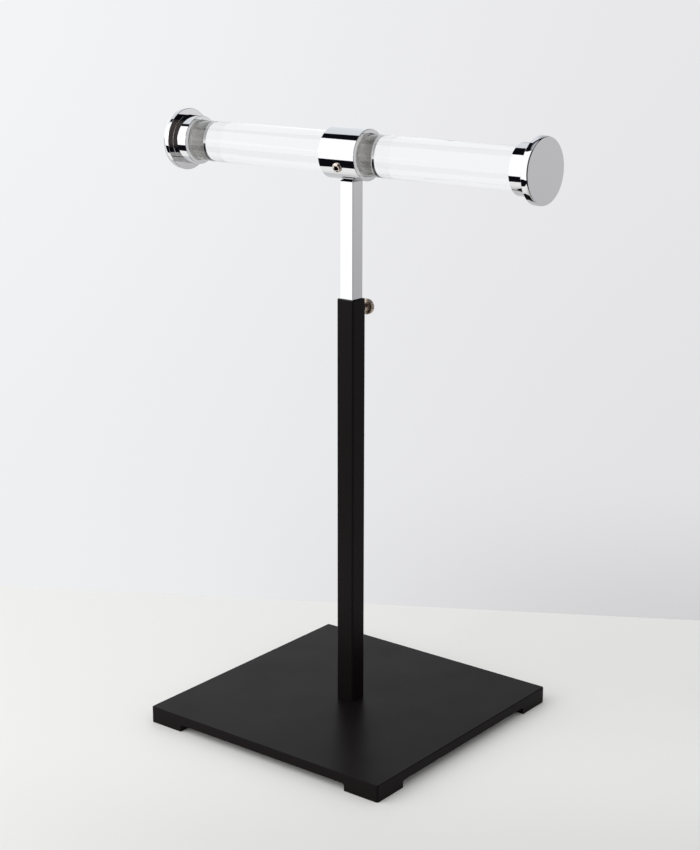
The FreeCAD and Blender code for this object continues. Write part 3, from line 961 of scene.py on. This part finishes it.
table = {
    "reach": 60.0,
    "colour": (0.80, 0.80, 0.785, 1),
    "roughness": 0.55,
    "level": 0.25,
    "endNormal": (-0.504, 0.864, 0),
    "endAlong": (0.864, 0.504, 0),
    "end": 0.195,
    # front strip of painted shade: the table's colour darkens towards the front, less on the left
    "frontAway": (-0.41, -0.25),
    "frontAcross": (-0.25, 0.0),
    "frontShade": 0.12,
    "frontLeftShare": 0.25,
    "towardFront": (-0.62, -0.785, 0),
    "towardRight": (0.94, -0.34, 0),
    # painted glow: only reflections see the table glow towards the front-left
    "paintedGlowFrom": (0.0, 0.25),
    "paintedGlow": 0.50,
    "far": (0.850, 0.850, 0.836, 1),
    "farFade": (0.28, 0.50),
    "mirrorFront": 0.350,
    "mirrorRight": 0.27,
    "lampEndNormal": (-0.563, 0.826, 0),
    "lampEnd": 0.077,
}


def howFar(tree, coords, name):
    # distance from the post along one of the table's directions
    return dotNode(tree, coords, Vector(table[name]).normalized())


def addTableTop(tree, shader, coords, rays, across, beyond):
    setShader(shader, Roughness=table["roughness"], Specular_IOR_Level=table["level"])
    # its emission colour serves the painted glow below
    setShader(shader, Emission_Color=table["colour"])
    # painted shade: the base colour darkens towards the front, less on the left
    paintedShade = product(tree, rangeNode(tree, beyond, table["frontAway"], table["frontShade"], 0),
                    rangeNode(tree, across, table["frontAcross"], table["frontLeftShare"], 1))
    paintedShadeColour = tree.nodes.new("ShaderNodeVectorMath")
    paintedShadeColour.operation = "SCALE"
    paintedShadeColour.inputs[0].default_value = table["colour"][:3]
    tree.links.new(restOf(tree, paintedShade), paintedShadeColour.inputs["Scale"])
    tree.links.new(paintedShadeColour.outputs["Vector"], shader.inputs["Base Color"])
    # painted reflection light: glossy rays see the table glow towards the front-left
    glowTowardFront = rangeNode(tree, howFar(tree, coords, "towardFront"), table["paintedGlowFrom"], 0, table["paintedGlow"])
    paintedGlow = product(tree, rays.outputs["Is Glossy Ray"], glowTowardFront)
    tree.links.new(paintedGlow, shader.inputs["Emission Strength"])
    # to the eye, also through the rod, the table stays one even tone further out
    length = tree.nodes.new("ShaderNodeVectorMath")
    length.operation = "LENGTH"
    tree.links.new(coords, length.inputs[0])
    farOut = rangeNode(tree, length.outputs["Value"], table["farFade"], 0, 1)
    looked = mathNode(tree, "MAXIMUM", rays.outputs["Is Camera Ray"], rays.outputs["Is Transmission Ray"])
    evened = product(tree, farOut, looked)
    return mixShaders(tree, evened, shader.outputs[0], emitter(tree, table["far"]))


def addMirrorEdges(tree, coords, rays, beyond):
    # polished metal sees past the table's front and right edges
    lampSide = dotNode(tree, coords, table["lampEndNormal"])
    besideLamp = mathNode(tree, "LESS_THAN", lampSide, table["lampEnd"])
    front = mathNode(tree, "GREATER_THAN", howFar(tree, coords, "towardFront"), table["mirrorFront"])
    right = mathNode(tree, "GREATER_THAN", howFar(tree, coords, "towardRight"), table["mirrorRight"])
    near = mathNode(tree, "LESS_THAN", beyond, 0.0)
    off = mathNode(tree, "MAXIMUM", product(tree, front, besideLamp), product(tree, right, near))
    notThrough = restOf(tree, rays.outputs["Is Transmission Ray"])
    return product(tree, off, product(tree, rays.outputs["Is Glossy Ray"], notThrough))


def makeTableMaterial():
    material, tree, shader = newMaterial("pale table")
    coords = tree.nodes.new("ShaderNodeTexCoord").outputs["Object"]
    rays = tree.nodes.new("ShaderNodeLightPath")
    beyond = mathNode(tree, "SUBTRACT", dotNode(tree, coords, table["endNormal"]), table["end"])
    across = dotNode(tree, coords, table["endAlong"])
    top = addTableTop(tree, shader, coords, rays, across, beyond)
    wall = mixShaders(tree, rays.outputs["Is Transmission Ray"], addBackdrop(tree, across, beyond),
                      emitter(tree, backdrop["throughRod"]))
    shown = mixShaders(tree, mathNode(tree, "GREATER_THAN", beyond, 0.0), top, wall)
    clear = tree.nodes.new("ShaderNodeBsdfTransparent").outputs[0]
    seen = mixShaders(tree, addMirrorEdges(tree, coords, rays, beyond), shown, clear)
    tree.links.new(seen, tree.nodes["Material Output"].inputs["Surface"])
    return material


def buildTable():
    reach = table["reach"]
    corners = ((-reach, -reach, 0), (reach, -reach, 0), (reach, reach, 0), (-reach, reach, 0))
    sheet = bmesh.new()
    sheet.faces.new([sheet.verts.new(point) for point in corners])
    floor = asPiece("tableTop", sheet)
    floor.data.materials.append(makeTableMaterial())


lamp = {
    "foot": (-0.90, -1.30, -0.24),
    "top": (-0.90, -0.75, 2.20),
    "width": 2.10,
    "radiance": 1.66,
}


def buildLamp():
    foot, top = Vector(lamp["foot"]), Vector(lamp["top"])
    width, height = lamp["width"], (top - foot).length
    light = bpy.data.lights.new("softLamp", "AREA")
    light.shape = "RECTANGLE"
    light.size, light.size_y = width, height
    light.energy = lamp["radiance"] * width * height * math.pi
    panel = bpy.data.objects.new("softLamp", light)
    across, rise = Vector((1, 0, 0)), (top - foot).normalized()
    turn = Matrix((across, rise, across.cross(rise))).transposed()
    panel.matrix_world = Matrix.Translation((foot + top) / 2) @ turn.to_4x4()
    panel.visible_camera = False
    panel.visible_transmission = False
    bpy.context.scene.collection.objects.link(panel)


# What the world shows: a plain fill on matt surfaces, a dark room with a pale ceiling in polished ones

room = {
    "fill": (0.76, 0.76, 0.76, 1),
    "dark": (0.006, 0.006, 0.009, 1),
    "ceiling": (1.08, 1.115, 1.155, 1),
    "ceilingSide": (-0.679, 0.453, -0.578),
    "ceilingEdge": 0.008,
    "ceilingFade": (-0.17, 0.02),
    "ceilingRight": 0.60,
    "window": {"toward": (-1, 0, 0), "limits": (0.80, 0.83), "colour": (1.55, 1.57, 1.60, 1)},
    "dimRight": {"toward": (0.88, -0.40, 0.25), "limits": (0.66, 0.84), "colour": (0.125, 0.105, 0.10, 1)},
    "right": {"toward": (0.985, 0, -0.174), "limits": (0.80, 0.92), "colour": (0.50, 0.50, 0.52, 1)},
    "overhead": {"toward": (0, 0, 1), "limits": (0.88, 0.97), "colour": (0.62, 0.63, 0.66, 1)},
}


def addSky(tree, colour):
    node = tree.nodes.new("ShaderNodeBackground")
    node.inputs["Color"].default_value = colour
    return node.outputs[0]


def addMirroredRoom(tree, direction):
    above = mathNode(tree, "GREATER_THAN", dotNode(tree, direction, (0, 0, 1)), 0.0)
    ceiling = addSky(tree, room["ceiling"])
    toRight = dotNode(tree, direction, table["endAlong"])
    fade = rangeNode(tree, toRight, room["ceilingFade"], 1, room["ceilingRight"])
    tree.links.new(fade, ceiling.node.inputs["Strength"])
    edge = (-room["ceilingEdge"], room["ceilingEdge"])
    bright = rangeNode(tree, dotNode(tree, direction, room["ceilingSide"]), edge, 0, 1)
    seen = mixShaders(tree, product(tree, bright, above), addSky(tree, room["dark"]), ceiling)
    for name in ("window", "dimRight", "right", "overhead"):
        patch = room[name]
        share = rangeNode(tree, dotNode(tree, direction, patch["toward"]), patch["limits"], 0, 1)
        if name == "window":
            share = product(tree, share, above)
        seen = mixShaders(tree, share, seen, addSky(tree, patch["colour"]))
    return seen


def buildWorld():
    world = bpy.data.worlds.new("studio")
    bpy.context.scene.world = world
    world.use_nodes = True
    tree = world.node_tree
    tree.nodes.clear()
    output = tree.nodes.new("ShaderNodeOutputWorld")
    rays = tree.nodes.new("ShaderNodeLightPath").outputs
    direction = tree.nodes.new("ShaderNodeTexCoord").outputs["Generated"]
    mirrored = addMirroredRoom(tree, direction)
    lit = mixShaders(tree, rays["Is Glossy Ray"], addSky(tree, room["fill"]), mirrored)
    plain = mixShaders(tree, rays["Is Camera Ray"], lit, addSky(tree, backdrop["left"]))
    through = addSky(tree, backdrop["throughRod"])
    seen = mixShaders(tree, rays["Is Transmission Ray"], plain, through)
    tree.links.new(seen, output.inputs["Surface"])


view = {
    "place": (0.654898, -0.841263, 0.484203),
    "yaw": 37.931,
    "pitch": -15.239,
    "roll": 0.086,
    "focalPixels": 1771.68,
    "frameHeight": 850,
    "sensor": 36.0,
    "clip": (0.01, 50),
}


def buildCamera():
    yaw, pitch, roll = (math.radians(view[name]) for name in ("yaw", "pitch", "roll"))
    forward = Vector((-math.sin(yaw) * math.cos(pitch), math.cos(yaw) * math.cos(pitch), math.sin(pitch)))
    level = Vector((math.cos(yaw), math.sin(yaw), 0))
    steep = level.cross(forward)
    right = level * math.cos(roll) + steep * math.sin(roll)
    up = steep * math.cos(roll) - level * math.sin(roll)
    data = bpy.data.cameras.new("camera")
    data.sensor_width = view["sensor"]
    data.lens = view["focalPixels"] * view["sensor"] / view["frameHeight"]
    data.clip_start, data.clip_end = view["clip"]
    camera = bpy.data.objects.new("camera", data)
    turn = Matrix((right, up, -forward)).transposed()
    camera.matrix_world = Matrix.Translation(view["place"]) @ turn.to_4x4()
    bpy.context.scene.collection.objects.link(camera)
    bpy.context.scene.camera = camera


buildTable()
buildLamp()
buildWorld()
buildCamera()
bpy.context.scene.view_settings.view_transform = "Standard"
print("stage, lamp and camera set")
